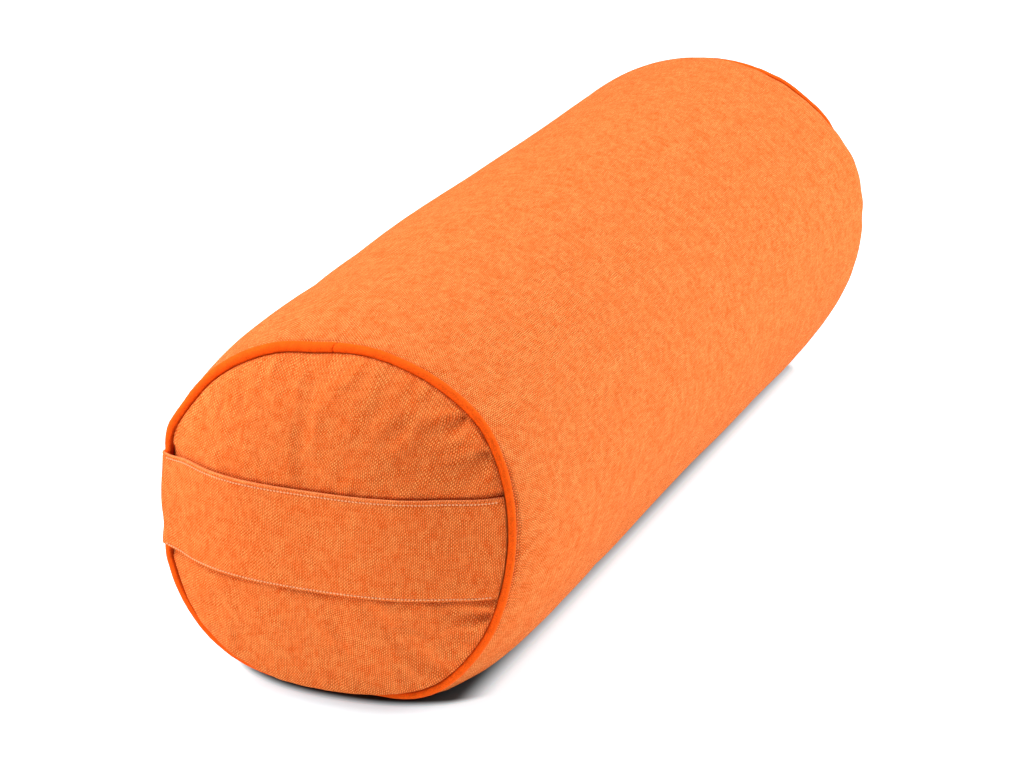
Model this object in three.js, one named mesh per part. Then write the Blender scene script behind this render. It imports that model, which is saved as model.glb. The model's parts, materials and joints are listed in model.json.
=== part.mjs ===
// Round yoga bolster: a filled cloth roll with piped ends and a carrying strap over its front end.
// Millimetres, +Z up. The long axis runs along Y, the strap end faces -Y, and the underside is at Z = 0.
import * as THREE from 'three';
import { mergeVertices } from 'three/addons/utils/BufferGeometryUtils.js';

// Driving dimensions of the piping and the end panels
const seamSpan = 628;
const pipingRadius = 3;
const panelCrown = 22;
const panelRoundness = 2.4;
const panelEdge = 0.8;
const rimLift = 2.2;
const gap = 0.3;

// Driving dimensions of the strap
const strapHeight = 55.5;
const strapCentre = 99;
const strapThickness = 1.8;
const strapEndLift = 2.1;
const strapBowTop = 31.9;
const strapBowBottom = 27.4;
const strapBowPower = 2.7;
const strapLeftBulge = 3.5;

// Numbers of steps in the meshes
const stepsAround = 72;
const pipingSides = 8;
const strapSteps = 30;
const strapRows = 4;

// Places of the seams along Y: the strap's reach and the back crown are equally far from the origin
const strapReach = strapEndLift + strapBowTop + strapThickness / 2;
const frontSeam = (strapReach - panelCrown - seamSpan) / 2;
const backSeam = frontSeam + seamSpan;

// The roll's sections: radius, height of the centre, and how far a seam draws the cloth in along the roll.
// The waves say how a hand-filled roll departs from a circle, as shares of its radius, and the pulls
// where the strap draws the seam in: degrees round from +X, millimetres deep.
const front = {
  y: frontSeam,
  outward: -1,
  radius: 98.6,
  height: 98,
  reach: 22,
  waves: [
    { lobes: 2, cosine: 0.008, sine: 0.020 },
    { lobes: 3, cosine: 0.000, sine: 0.0115 },
    { lobes: 4, cosine: -0.0125, sine: 0.005 },
  ],
  pulls: [{ at: 180, width: 17, depth: 3.2 }],
};
const back = {
  y: backSeam,
  outward: 1,
  radius: 99.3,
  height: 95.2,
  reach: 17,
  waves: [
    { lobes: 2, cosine: 0.006, sine: 0.010 },
    { lobes: 3, cosine: 0.002, sine: 0.0025 },
    { lobes: 4, cosine: 0.000, sine: 0.002 },
  ],
  pulls: [],
};
const middle = {
  radius: 111.2,
  belly: 0.007,
  height: 93.3,
  waves: [
    { lobes: 2, cosine: -0.002, sine: 0.006 },
    { lobes: 3, cosine: -0.002, sine: 0.012 },
    { lobes: 4, cosine: 0.0095, sine: 0.000 },
  ],
  pulls: [],
};

// Distances from each seam along the roll at which its section is drawn
const sectionsFromSeam = [5, 9, 15, 24, 38, 60, 95, 150, 225];

// Shares of the way from an end panel's crown to its rim at which it is drawn
const panelSections = [0.2, 0.4, 0.58, 0.72, 0.82, 0.89, 0.94, 0.97, 0.99, 1];

// Where an end panel's edge is pressed flatter or bulges: degrees round from +X, millimetres out
const strapPresses = [
  { at: 0, width: 24, edge: 0.4, lift: -1.7, spread: -0.6 },
  { at: 180, width: 24, edge: 0.4, lift: -1.7, spread: -0.6 },
];
const floorBulge = { at: 270, width: 32, edge: -0.3, lift: 0, spread: 8.5 };
const evenSpread = 0.6;

// Gathers that run in from the seam of each end panel
const frontGathers = [
  { at: 38, width: 6, depth: 2.4 },
  { at: 57, width: 5, depth: 1.3 },
  { at: 104, width: 7, depth: 1.0 },
  { at: 148, width: 6, depth: 1.2 },
  { at: 218, width: 6, depth: 1.2 },
  { at: 300, width: 7, depth: 2.2 },
  { at: 333, width: 6, depth: 2.0 },
];
const backGathers = [
  { at: 24, width: 6, depth: 1.6 },
  { at: 72, width: 7, depth: 1.2 },
  { at: 131, width: 6, depth: 2.0 },
  { at: 166, width: 5, depth: 1.3 },
  { at: 205, width: 6, depth: 1.8 },
  { at: 327, width: 6, depth: 1.6 },
];

// The lesser of two values, rounded over where they are less than blend apart
function softMin(a, b, blend) {
  const overlap = Math.max(blend - Math.abs(a - b), 0) / blend;
  return Math.min(a, b) - (overlap * overlap * blend) / 4;
}

// 1 at an angle, falling to nothing beyond a width, both in degrees
function bump(angle, at, width) {
  const away = ((THREE.MathUtils.radToDeg(angle) - at + 540) % 360) - 180;
  return Math.exp(-((away / width) ** 2));
}

// A column of a table summed over its rows, each weighed by its bump
function pressed(rows, column, angle) {
  return rows.reduce((sum, row) => sum + row[column] * bump(angle, row.at, row.width), 0);
}

// Radius of a section at an angle, before the floor flattens it
function wavedRadius({ radius, waves, pulls }, angle) {
  const wave = ({ lobes, cosine, sine }) => cosine * Math.cos(lobes * angle) + sine * Math.sin(lobes * angle);
  return radius * waves.reduce((sum, row) => sum + wave(row), 1) - pressed(pulls, 'depth', angle);
}

// A radius cut off level where it would pass more than drop below the centre
function flattened(radius, angle, drop, blend) {
  const down = -Math.sin(angle);
  return down > 0.1 ? softMin(radius, drop / down, blend) : radius;
}

// Radius of a stitched end seam, where the cord of the piping is centred
function seamLine(end, angle) {
  return flattened(wavedRadius(end, angle), angle, end.height - pipingRadius - gap, 4);
}

const angles = Array.from({ length: stepsAround }, (_, step) => (2 * Math.PI * step) / stepsAround);

// A ring of points round the long axis, its place along Y and its radius given for each angle
function around(height, yAt, radiusAt) {
  return angles.map((angle) => {
    const radius = radiusAt(angle);
    return new THREE.Vector3(radius * Math.cos(angle), yAt(angle), height + radius * Math.sin(angle));
  });
}

// A closed skin over rings of points that follow each other; a ring of one point is a pole
function skin(rings) {
  const positions = rings.flat().flatMap((point) => point.toArray());
  const faces = [];
  let start = 0;
  rings.slice(0, -1).forEach((ring, index) => {
    const next = rings[index + 1];
    const nextStart = start + ring.length;
    const count = Math.max(ring.length, next.length);
    for (let step = 0; step < count; step++) {
      const a = start + (step % ring.length);
      const b = start + ((step + 1) % ring.length);
      const c = nextStart + (step % next.length);
      const d = nextStart + ((step + 1) % next.length);
      if (ring.length > 1) faces.push(a, c, b);
      if (next.length > 1) faces.push(b, c, d);
    }
    start = nextStart;
  });
  const geometry = new THREE.BufferGeometry();
  geometry.setAttribute('position', new THREE.Float32BufferAttribute(positions, 3));
  geometry.setIndex(faces);
  return geometry;
}

// A section of the roll, blended from the middle's section to each seam's
function rollSection(y) {
  const nearFront = Math.exp(-(y - front.y) / front.reach);
  const nearBack = Math.exp(-(back.y - y) / back.reach);
  const blend = (ofMiddle, ofFront, ofBack) => (
    ofMiddle * (1 - nearFront - nearBack) + ofFront * nearFront + ofBack * nearBack
  );
  const fromMiddle = (2 * y - front.y - back.y) / seamSpan;
  const fullness = 1 + middle.belly * (1 - fromMiddle ** 2);
  const height = blend(middle.height, front.height, back.height);
  const radiusAt = (angle) => {
    const ofMiddle = wavedRadius(middle, angle) * fullness;
    return flattened(blend(ofMiddle, wavedRadius(front, angle), wavedRadius(back, angle)), angle, height, 8);
  };
  return around(height, () => y, radiusAt);
}

// The roll's edge at a seam, hollowed to take the piping's cord, from the seam inwards
function hollowedEdge(end) {
  const hollow = pipingRadius + gap;
  const steps = [
    { inward: gap / 2, inset: hollow },
    { inward: hollow * Math.SQRT1_2, inset: hollow * Math.SQRT1_2 },
    { inward: hollow, inset: 0 },
  ];
  return steps.map(({ inward, inset }) => (
    around(end.height, () => end.y - end.outward * inward, (angle) => seamLine(end, angle) - inset)
  ));
}

// The filled roll, drawn in at both seams
function rollGeometry() {
  const fromFront = sectionsFromSeam.map((distance) => rollSection(front.y + distance));
  const toBack = sectionsFromSeam.map((distance) => rollSection(back.y - distance)).reverse();
  return skin([
    [new THREE.Vector3(0, front.y + gap / 2, front.height)],
    ...hollowedEdge(front),
    ...fromFront,
    rollSection((front.y + back.y) / 2),
    ...toBack,
    ...hollowedEdge(back).reverse(),
    [new THREE.Vector3(0, back.y - gap / 2, back.height)],
  ]);
}

// A crowned end panel, drawn in at its seam
function panelGeometry(end, presses, gathers) {
  const rimRadius = (angle) => seamLine(end, angle) - pipingRadius - gap;
  const crownAt = (share) => (angle) => {
    const edge = panelEdge + pressed(presses, 'edge', angle);
    const lift = rimLift + pressed(presses, 'lift', angle);
    const crown = lift + (panelCrown - lift) * (1 - share ** panelRoundness) ** edge;
    const nearRim = share ** 8 * (1 - share ** 24);
    return end.y + end.outward * (crown - nearRim * pressed(gathers, 'depth', angle));
  };
  const radiusAt = (share) => (angle) => {
    const nearRim = ((1 - share) * share ** 20) / 0.018;
    const spread = evenSpread + pressed(presses, 'spread', angle);
    return flattened(share * rimRadius(angle) + nearRim * spread, angle, end.height - gap, 3);
  };
  const atSeam = end.y + (end.outward * gap) / 2;
  const rings = [
    [new THREE.Vector3(0, atSeam, end.height)],
    around(end.height, () => atSeam, rimRadius),
    ...panelSections.toReversed().map((share) => around(end.height, crownAt(share), radiusAt(share))),
    [new THREE.Vector3(0, end.y + end.outward * panelCrown, end.height)],
  ];
  return skin(end.outward > 0 ? rings : rings.reverse());
}

// The line of an end seam
class SeamCurve extends THREE.Curve {
  constructor(end) {
    super();
    this.end = end;
  }

  getPoint(share, target = new THREE.Vector3()) {
    const angle = 2 * Math.PI * share;
    const radius = seamLine(this.end, angle);
    return target.set(radius * Math.cos(angle), this.end.y, this.end.height + radius * Math.sin(angle));
  }
}

// A cloth-covered cord, closed on itself round an end seam
function pipingGeometry(end) {
  const ring = new THREE.TubeGeometry(new SeamCurve(end), stepsAround, pipingRadius, pipingSides, true);
  ring.deleteAttribute('normal');
  ring.deleteAttribute('uv');
  return mergeVertices(ring, 1e-3);
}

// Half the width inside the front piping at a height; side is -1 on the left and 1 on the right
function halfWidthInside(height, side) {
  const rise = height - front.height;
  let radius = front.radius;
  for (let round = 0; round < 4; round++) {
    const slope = Math.asin(rise / radius);
    radius = seamLine(front, side > 0 ? slope : Math.PI - slope) - pipingRadius - 2 * gap;
  }
  return Math.sqrt(radius ** 2 - rise ** 2);
}

// Middle of the strap's cloth: across runs from -1 at its left seam to 1, up from -1 at its lower edge to 1
function strapMiddle(across, up) {
  const height = strapCentre + (up * strapHeight) / 2;
  const bow = THREE.MathUtils.lerp(strapBowBottom, strapBowTop, (up + 1) / 2);
  const share = Math.abs(across);
  const out = strapEndLift + bow * (1 - share ** strapBowPower);
  const bulge = across < 0 ? (strapLeftBulge * (1 - share) * share ** 12) / 0.03 : 0;
  const halfWidth = halfWidthInside(height, Math.sign(across));
  return new THREE.Vector3(across * halfWidth - bulge, front.y - out, height);
}

// A point on the strap's outer face, where face is 1, or its inner face, where it is -1
function strapPoint(across, up, face) {
  const small = 0.01;
  const along = strapMiddle(across + small, up).sub(strapMiddle(across - small, up));
  const outward = new THREE.Vector3(along.y, -along.x, 0).normalize();
  return strapMiddle(across, up).addScaledVector(outward, (face * strapThickness) / 2);
}

// A flat band sewn into the seam at both ends and bowed out over the front panel
function strapGeometry() {
  const rows = Array.from({ length: strapRows + 1 }, (_, row) => (2 * row) / strapRows - 1);
  const lastAcross = 0.985;
  const rings = Array.from({ length: strapSteps + 1 }, (_, step) => {
    const across = lastAcross * Math.sin(Math.PI * (step / strapSteps - 0.5));
    return [
      ...rows.map((up) => strapPoint(across, up, 1)),
      ...rows.toReversed().map((up) => strapPoint(across, up, -1)),
    ];
  });
  return skin([[strapMiddle(-lastAcross, 0)], ...rings, [strapMiddle(lastAcross, 0)]]);
}

// Cloth colours
const canvas = { color: 0xf58f4e, roughness: 0.92, metalness: 0 };
const cordCover = { color: 0xf0581c, roughness: 0.85, metalness: 0 };

const bolster = new THREE.Group();

function addPiece(name, geometry, cloth) {
  const piece = new THREE.Mesh(geometry, new THREE.MeshStandardMaterial(cloth));
  piece.name = name;
  bolster.add(piece);
}

addPiece('body', rollGeometry(), canvas);
addPiece('end_panel_front', panelGeometry(front, [...strapPresses, floorBulge], frontGathers), canvas);
addPiece('end_panel_back', panelGeometry(back, [floorBulge], backGathers), canvas);
addPiece('piping_front', pipingGeometry(front), cordCover);
addPiece('piping_back', pipingGeometry(back), cordCover);
addPiece('handle_strap', strapGeometry(), canvas);

export default bolster;
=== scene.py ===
"""Round yoga bolster: the cloth of a filled roll with piped ends and a carrying strap, dressed over its frame.

Metres, +Z up. The long axis runs along Y, the strap end faces -Y, and the underside is at Z = 0.
Angles run round the roll from +X towards +Z, and "out" is away from the middle of the roll along Y.
"""

import json
import math
from collections import namedtuple

import bpy
import numpy as np
from bpy.props import FloatProperty, FloatVectorProperty, IntProperty, PointerProperty
from mathutils import Matrix, Vector

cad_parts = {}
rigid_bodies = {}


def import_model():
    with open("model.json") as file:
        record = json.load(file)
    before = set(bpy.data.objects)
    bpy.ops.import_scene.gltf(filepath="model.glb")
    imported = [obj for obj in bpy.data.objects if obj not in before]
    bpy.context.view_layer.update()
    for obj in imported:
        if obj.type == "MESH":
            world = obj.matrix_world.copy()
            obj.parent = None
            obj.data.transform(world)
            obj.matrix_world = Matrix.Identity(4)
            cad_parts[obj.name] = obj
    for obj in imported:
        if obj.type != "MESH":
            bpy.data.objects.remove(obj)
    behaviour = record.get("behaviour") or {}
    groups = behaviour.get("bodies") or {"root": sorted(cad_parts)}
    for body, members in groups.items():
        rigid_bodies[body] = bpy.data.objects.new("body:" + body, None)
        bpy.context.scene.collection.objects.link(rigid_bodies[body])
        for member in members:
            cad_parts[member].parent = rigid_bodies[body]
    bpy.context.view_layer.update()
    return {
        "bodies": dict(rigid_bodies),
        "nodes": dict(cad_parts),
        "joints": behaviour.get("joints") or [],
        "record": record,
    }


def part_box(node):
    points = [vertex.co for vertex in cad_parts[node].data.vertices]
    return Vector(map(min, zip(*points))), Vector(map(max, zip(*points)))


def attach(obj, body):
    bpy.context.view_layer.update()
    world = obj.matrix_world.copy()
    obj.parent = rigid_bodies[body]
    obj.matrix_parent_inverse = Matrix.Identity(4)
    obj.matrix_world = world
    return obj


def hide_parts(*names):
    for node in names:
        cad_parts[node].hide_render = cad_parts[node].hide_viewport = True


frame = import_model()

bl_info = {
    "name": "Yoga bolster",
    "version": (1, 0, 0),
    "blender": (4, 5, 0),
    "location": "3D View > Sidebar > Bolster",
    "description": "Builds the cloth of a piped yoga bolster over its packed frame",
    "category": "Object",
}

BODY = "root"
WEAVE_UV = "weave"
ROW_CLOSENESS = 0.93


def middle_along(node):
    """Middle of a frame node's box along the roll"""
    low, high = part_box(node)
    return (low[1] + high[1]) / 2


# The roll's sections at its two seams and its middle: radius, height of the centre and how far a seam draws
# the cloth in along the roll. Waves say how a hand-filled roll departs from a circle: number of lobes, then
# cosine and sine shares of the radius. Pulls say where a seam is drawn in, and below zero let out, wander does so
# for the stitching line alone, and short reach says where the roll rises more steeply: degrees, width, depth.
FRONT = {
    "y": middle_along("piping_front"),
    "outward": -1,
    "radius": 0.0986,
    "height": 0.098,
    "reach": 0.022,
    "short_reach": (0, 1, 0.0),
    "waves": [(2, 0.008, 0.020), (3, 0.0, 0.0115), (4, -0.0125, 0.005)],
    "pulls": [
        (180, 16, 0.0031), (268, 20, 0.0075), (303, 17, -0.0034), (330, 14, -0.0014), (158, 7, -0.0022),
        (212, 22, -0.0014),
    ],
    "wander": [
        (12, 20, 0.0012), (38, 9, -0.0009), (76, 7, -0.0005), (96, 8, 0.0012), (122, 13, 0.0006), (142, 14, 0.0008),
        (165, 7, 0.0011), (189, 5.5, 0.0017), (198, 3, -0.0004), (228, 15, -0.0011), (284, 8, 0.0007),
    ],
}
BACK = {
    "y": middle_along("piping_back"),
    "outward": 1,
    "radius": 0.0993,
    "height": 0.0952,
    "reach": 0.017,
    "short_reach": (10, 34, 0.005),
    "waves": [(2, 0.006, 0.010), (3, 0.002, 0.0025), (4, 0.0, 0.002)],
    "pulls": [(10, 34, 0.0035)],
    "wander": [(62, 6, -0.0005), (42, 8, -0.0011), (110, 9, -0.0006), (150, 12, 0.0008), (205, 10, -0.0007)],
}
MIDDLE = {
    "radius": 0.1112,
    "belly": 0.007,
    "height": 0.0933,
    "waves": [(2, -0.002, 0.006), (3, -0.002, 0.012), (4, 0.0095, 0.0)],
    "pulls": [],
}

# Where the filling stands fuller or, below zero, slacker: degrees, width, place along Y, length and rise in metres
FILLING = [
    (128, 34, -0.285, 0.020, -0.0013), (128, 34, -0.176, 0.026, -0.0013), (128, 34, -0.085, 0.060, 0.0013),
    (128, 34, 0.170, 0.060, -0.0008), (128, 34, 0.285, 0.018, 0.0009), (-40, 30, -0.280, 0.020, -0.0009),
    (-40, 30, -0.135, 0.048, -0.0014), (-40, 30, -0.015, 0.050, -0.0019), (-40, 30, 0.100, 0.045, -0.0018),
    (-40, 30, 0.270, 0.040, 0.0006), (24, 13, 0.306, 0.018, 0.0026), (62, 20, 0.316, 0.012, -0.0022),
]

# Unevenness as a sum of waves: height in metres or, of a cord, as a share of its radius, number of waves, fewest and
# most lobes round the roll, most turns per metre
Ripples = namedtuple("Ripples", "height count lobes turns")
FILLING_RIPPLES = Ripples(0.0007, 14, (1, 9), 9)
SEAM_PUCKERS = Ripples(0.0009, 12, (16, 44), 12)
RIM_PUCKERS = Ripples(0.0007, 14, (14, 40), 8)
PANEL_RIPPLES = Ripples(0.0006, 8, (1, 4), 10)
CORD_RIPPLES = Ripples(0.018, 16, (6, 60), 0)
CORD_CREASES = Ripples(0.010, 10, (60, 150), 0)

# Metres from a seam within which its puckers swell and then fade, and beyond which the wrap's own folds grow
PUCKER_SWELL, PUCKER_FADE, FOLD_GROWTH = 0.004, 0.011, 0.025

# Where the cord of a piping is thicker or, below zero, thinner: degrees, width and share of its radius
CORD_SHARES = [(116, 34, 0.27), (0, 28, -0.09)]

# Where an end panel's edge is pressed flatter or bulges: degrees, width, change of edge, of lift and of spread
STRAP_PRESSES = [(0, 24, 0.4, -0.0014, -0.0006), (180, 24, 0.4, -0.0014, -0.0006)]
SEAM_PRESSES = [
    (304, 15, 0.0, -0.0005, -0.0021), (93, 7, 0.0, -0.0003, -0.0009), (142, 4, 0.0, -0.0002, -0.0006),
    (156, 5, 0.0, -0.0003, -0.0011), (206, 6, 0.0, -0.0003, -0.0012),
]
FLOOR_BULGE = (268, 26, -0.3, 0.0, 0.0036)
EVEN_SPREAD = 0.0006
PANEL_ROUNDNESS = 2.5
PANEL_EDGE = 0.74
PANEL_LEAN = 0.0105
RIM_LIFT = 0.0019

# Metres over which a skin bends into the level of the floor, and the panel's skin into the strap's back
SEAM_BEND, WRAP_BEND, PANEL_BEND, REST_BEND = 0.004, 0.008, 0.003, 0.0012

# Gathers that run in from the seam of each end panel: degrees, half width, depth and length in metres, and the
# slant in metres sideways per metre inwards
FRONT_GATHERS = [
    (42.5, 0.0034, 0.0036, 0.0100, 0.2), (75.5, 0.0026, 0.0010, 0.009, 0.0), (60, 0.0045, 0.0011, 0.014, -0.2),
    (30.5, 0.0055, 0.0040, 0.020, 0.35), (337, 0.0035, 0.0034, 0.016, -0.3), (312, 0.0060, 0.0014, 0.018, 0.0),
    (151, 0.0032, 0.0018, 0.013, -0.3), (104, 0.0070, 0.0010, 0.016, 0.1), (216, 0.0060, 0.0010, 0.016, 0.1),
    (128, 0.0035, 0.0009, 0.010, 0.2), (240, 0.0050, 0.0009, 0.012, 0.0), (290, 0.0040, 0.0008, 0.010, 0.0),
]
BACK_GATHERS = [
    (24, 0.0045, 0.0020, 0.015, 0.2), (47, 0.0030, 0.0014, 0.010, -0.2), (72, 0.0050, 0.0013, 0.016, 0.1),
    (101, 0.0032, 0.0016, 0.012, -0.1), (131, 0.0040, 0.0024, 0.016, 0.2), (166, 0.0050, 0.0014, 0.018, 0.0),
    (205, 0.0040, 0.0021, 0.014, -0.3), (236, 0.0050, 0.0010, 0.012, 0.0), (300, 0.0045, 0.0011, 0.012, 0.1),
    (327, 0.0040, 0.0019, 0.016, -0.2), (352, 0.0035, 0.0012, 0.010, 0.1),
]

# The strap's lift at its ends and the powers of its bow at the lower and the upper edge
STRAP_END_LIFT = 0.0017
STRAP_BOW_POWERS = (2.7, 3.0)
STRAP_RIGHT_END = 1.008
# Along its left end, as shares of the half width: where it leaves the bow, meets the piping and ends behind it;
# then the degrees round the piping at which it meets and leaves the cord, and its distance from the cord's middle
STRAP_LEFT_BENDS = (-0.86, -1.06, -1.13)
STRAP_WRAP_TURN = (124.0, 236.0)
STRAP_WRAP_RADIUS = 0.0031
# Towards each end, as shares of the half width: where the strap's edges begin to be drawn and over how much, then
# the change of the upper and of the lower edge
STRAP_DRAWS = ((-0.78, 0.26, -0.0030, 0.0019), (0.72, 0.24, -0.0018, -0.0011))
# Radius of its folded edges, the depth and half width of the stitched groove, and where the turned-in cloth ends and
# over how much it thins out
STRAP_FOLD = 0.0012
STITCH_GROOVE = (0.00045, 0.0006)
TURNED_IN = (0.0095, 0.0008)
# Distance of the panel from the strap at its lower and upper edge, and how steeply the panel rises beside them
STRAP_CLEARANCE = (0.0026, 0.0007)
RISE_BESIDE_STRAP = 0.7
# Radius of the sewing thread, half a stitch's length as a share of the pitch, and how far it stands from the groove
THREAD_RADIUS = 0.00042
STITCH_SHARE = 0.34
STITCH_SEAT = 0.00020

# Photographic view: rows are the camera's right, up and back directions
CAMERA_AXES = ((0.932187, 0.361977, 0.000512), (-0.121100, 0.310532, 0.942817), (0.341120, -0.878944, 0.333309))
CAMERA_PLACE = (0.67164, -1.7868, 0.74677)
CAMERA_LENS = 119.65

# Painted light: the glow that the floor gives near the bolster, tinted cyan against the cloth's orange light on it,
# and far from it, and its colour far from it; then half the width and length of the dark place under the bolster,
# a painted contact shadow, how wide that painted shadow is beyond them, and how far its ends fall back at 0.04
# beside the middle
FLOOR_GLOW = (0.37, 0.50, 0.54, 1.0)
FAR_FLOOR_GLOW = (0.38, 0.38, 0.38, 1.0)
FAR_FLOOR = (0.9, 0.9, 0.9, 1.0)
STAND = (0.0545, 0.3025)
STAND_SHADE = (0.025, 0.0125)
STAND_ROUNDING = 0.0065


def metres(name, description, default):
    """A property that holds a size in metres"""
    return FloatProperty(name=name, description=description, default=default, unit="LENGTH", precision=5)


def dye(name, description, *default):
    """A property that holds a colour"""
    return FloatVectorProperty(
        name=name, description=description, subtype="COLOR", size=4, default=(*default, 1.0), min=0.0, max=1.0,
    )


class BolsterSizes(bpy.types.PropertyGroup):
    """Sizes of the cloth pieces and their threads"""

    piping_radius: metres("Piping radius", "Radius of the covered cord", 0.0024)
    gap: metres("Gap", "Clearance between neighbouring pieces", 0.0002)
    panel_crown: metres("Panel crown", "How far the panel behind the strap bulges out", 0.0320)
    far_panel_crown: metres("Far panel crown", "How far the other end panel bulges out", 0.0235)
    strap_height: metres("Strap height", "Height of the carrying strap", 0.0565)
    strap_centre: metres("Strap centre", "Height of the strap's middle line", 0.0995)
    strap_thickness: metres("Strap thickness", "Thickness of the doubled strap", 0.0018)
    strap_bow_top: metres("Bow at the top", "How far the strap's upper edge bows out", 0.0326)
    strap_bow_bottom: metres("Bow at the bottom", "How far the strap's lower edge bows out", 0.0282)
    stitch_pitch: metres("Stitch pitch", "Length of one topstitch", 0.00186)
    stitch_inset: metres("Stitch inset", "Distance of the topstitching from the strap's upper edge", 0.0022)
    lower_stitch_inset: metres("Lower stitch inset", "Distance of the topstitching from the lower edge", 0.0015)
    thread_pitch: metres("Thread pitch", "Distance between the canvas warp threads", 0.00093)
    ripple_seed: IntProperty(
        name="Ripple seed", description="Number that fixes the small unevenness of the filling", default=7,
    )


class BolsterColours(bpy.types.PropertyGroup):
    """Colours of the cloths and of the floor"""

    canvas: dye("Canvas", "Weft threads of the canvas", 0.665, 0.092, 0.009)
    canvas_pale: dye("Pale thread", "Warp threads of the canvas", 0.89, 0.27, 0.078)
    cord_cover: dye("Piping cloth", "Plain cloth round the piping cord", 0.94, 0.106, 0.0045)
    stitching: dye("Stitching", "Sewing thread of the strap", 1.0, 0.48, 0.23)
    # Painted light: the floor's colour near the bolster is tinted cyan against the orange light that the cloth throws
    # on it
    floor: dye("Floor", "Studio floor", 0.75, 0.86, 0.91)


def sizes():
    """The scene's bolster sizes"""
    return bpy.context.scene.bolster_sizes


def colours():
    """The scene's bolster colours"""
    return bpy.context.scene.bolster_colours


# Shape of the roll

def soft_min(a, b, blend):
    """The lesser of a and b, lowered by a quarter of blend times the squared share by which they overlap"""
    overlap = np.maximum(blend - np.abs(a - b), 0) / blend
    return np.minimum(a, b) - overlap**2 * blend / 4


def bump(angle, at, width):
    """exp(-(difference / width)^2) of an angle from a place, with place and width in degrees"""
    away = (np.degrees(angle) - at + 540) % 360 - 180
    return np.exp(-((away / width) ** 2))


def waved_radius(end, angle):
    """radius times (1 + the sum of each wave's cosine and sine), less each pull's depth times its bump"""
    wave = sum(cosine * np.cos(lobes * angle) + sine * np.sin(lobes * angle) for lobes, cosine, sine in end["waves"])
    pull = sum(depth * bump(angle, at, width) for at, width, depth in end["pulls"])
    return end["radius"] * (1 + wave) - pull


def flattened(radius, angle, drop, blend):
    """The soft lesser of a radius and the one that reaches a level floor, drop below the centre"""
    down = -np.sin(angle)
    return np.where(down > 0.1, soft_min(radius, drop / np.maximum(down, 0.1), blend), radius)


def cord_radius(angle):
    """Radius of the covered cord: the piping's, times 1 plus each cord share's bump"""
    return sizes().piping_radius * (1 + sum(share * bump(angle, at, width) for at, width, share in CORD_SHARES))


def seam_line(end, angle):
    """Radius of a stitched end seam, where the cord of the piping is centred"""
    drop = end["height"] - sizes().piping_radius - sizes().gap
    wander = sum(depth * bump(angle, at, width) for at, width, depth in end["wander"])
    return flattened(waved_radius(end, angle) - wander, angle, drop, SEAM_BEND)


def ripples(angle, along, seed, kind):
    """A sum of seeded cosines of lobes round the roll and turns per metre along it, about 1 high in all"""
    draw = np.random.default_rng(seed)
    total = np.zeros(np.broadcast(angle, along).shape)
    for _ in range(kind.count):
        around = draw.integers(kind.lobes[0], kind.lobes[1] + 1)
        phase = draw.uniform(0, 2 * math.pi)
        total += np.cos(around * angle + 2 * math.pi * draw.uniform(-kind.turns, kind.turns) * along + phase)
    return total / math.sqrt(kind.count)


def around_roll(y, radius, height, angle):
    """Points at x = radius cos(angle), z = height + radius sin(angle)"""
    y, radius, height, angle = np.broadcast_arrays(y, radius, height, angle)
    return np.stack([radius * np.cos(angle), y, height + radius * np.sin(angle)], axis=-1)


# Mesh making

def grid_quads(rows, columns):
    """Corner numbers of the quads of a grid of rows by columns points, as (quads, 4)"""
    row, column = np.meshgrid(np.arange(rows - 1), np.arange(columns - 1), indexing="ij")
    first = (row * columns + column).ravel()
    return np.stack([first, first + 1, first + columns + 1, first + columns], axis=-1)


def joined_columns(quads, columns):
    """Point numbers of a grid whose last column is its first: column c of each row becomes c mod (columns - 1)"""
    return quads // columns * (columns - 1) + quads % columns % (columns - 1)


def signed_volume(points, corners):
    """A sixth of the sum of each triangle fan's triple product, above zero where the faces look away from the origin"""
    first = points[corners[:, 0]]
    fans = (np.cross(points[corners[:, k]], points[corners[:, k + 1]]) for k in range(1, corners.shape[1] - 1))
    return sum((first * fan).sum() for fan in fans) / 6


def run_length(steps):
    """Distance of a line's points from its first one, from the lengths of its steps"""
    return np.concatenate([[0.0], np.cumsum(steps)])


def line_length(line):
    """Distance along a line of points from its first one"""
    return run_length(np.linalg.norm(np.diff(line, axis=0), axis=-1))


def weave_grid(u, v):
    """Weave coordinates (points, 2) of a grid from those of its rows and of its columns"""
    return np.stack(np.broadcast_arrays(u, v), axis=-1).reshape(-1, 2)


def new_mesh(name, points, faces, weave):
    """A mesh of points (n, 3) and of faces, a list of corner arrays, with weave coordinates for every corner"""
    mesh = bpy.data.meshes.new(name)
    mesh.from_pydata(points, [], [face for corners in faces for face in corners.tolist()])
    layer = mesh.uv_layers.new(name=WEAVE_UV)
    layer.data.foreach_set("uv", np.concatenate([part.reshape(-1) for part in weave]).astype(np.float32))
    mesh.shade_smooth()
    if sum(signed_volume(points, corners) for corners in faces) < 0:
        mesh.flip_normals()
    mesh.update()
    return mesh


def closed_tube(name, points, weave, poles):
    """A mesh of a grid of points whose last column is its first, with its first and last row closed to their poles by
    fans of triangles"""
    rows, columns = points.shape[:2]
    quads = grid_quads(rows, columns)
    faces, coordinates = [joined_columns(quads, columns)], [weave[quads]]
    count = columns - 1
    for number, row in enumerate((0, rows - 1)):
        first = row * count + np.arange(count)
        following = row * count + (np.arange(count) + 1) % count
        fan = (following, first) if row == 0 else (first, following)
        faces.append(np.stack([*fan, np.full(count, rows * count + number)], axis=-1))
        coordinates.append(np.zeros((count, 3, 2)))
    return new_mesh(name, np.concatenate([points[:, :-1].reshape(-1, 3), poles]), faces, coordinates)


def linked(name, data):
    """A new object of the scene, at the origin"""
    thing = bpy.data.objects.new(name, data)
    bpy.context.scene.collection.objects.link(thing)
    return thing


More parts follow.
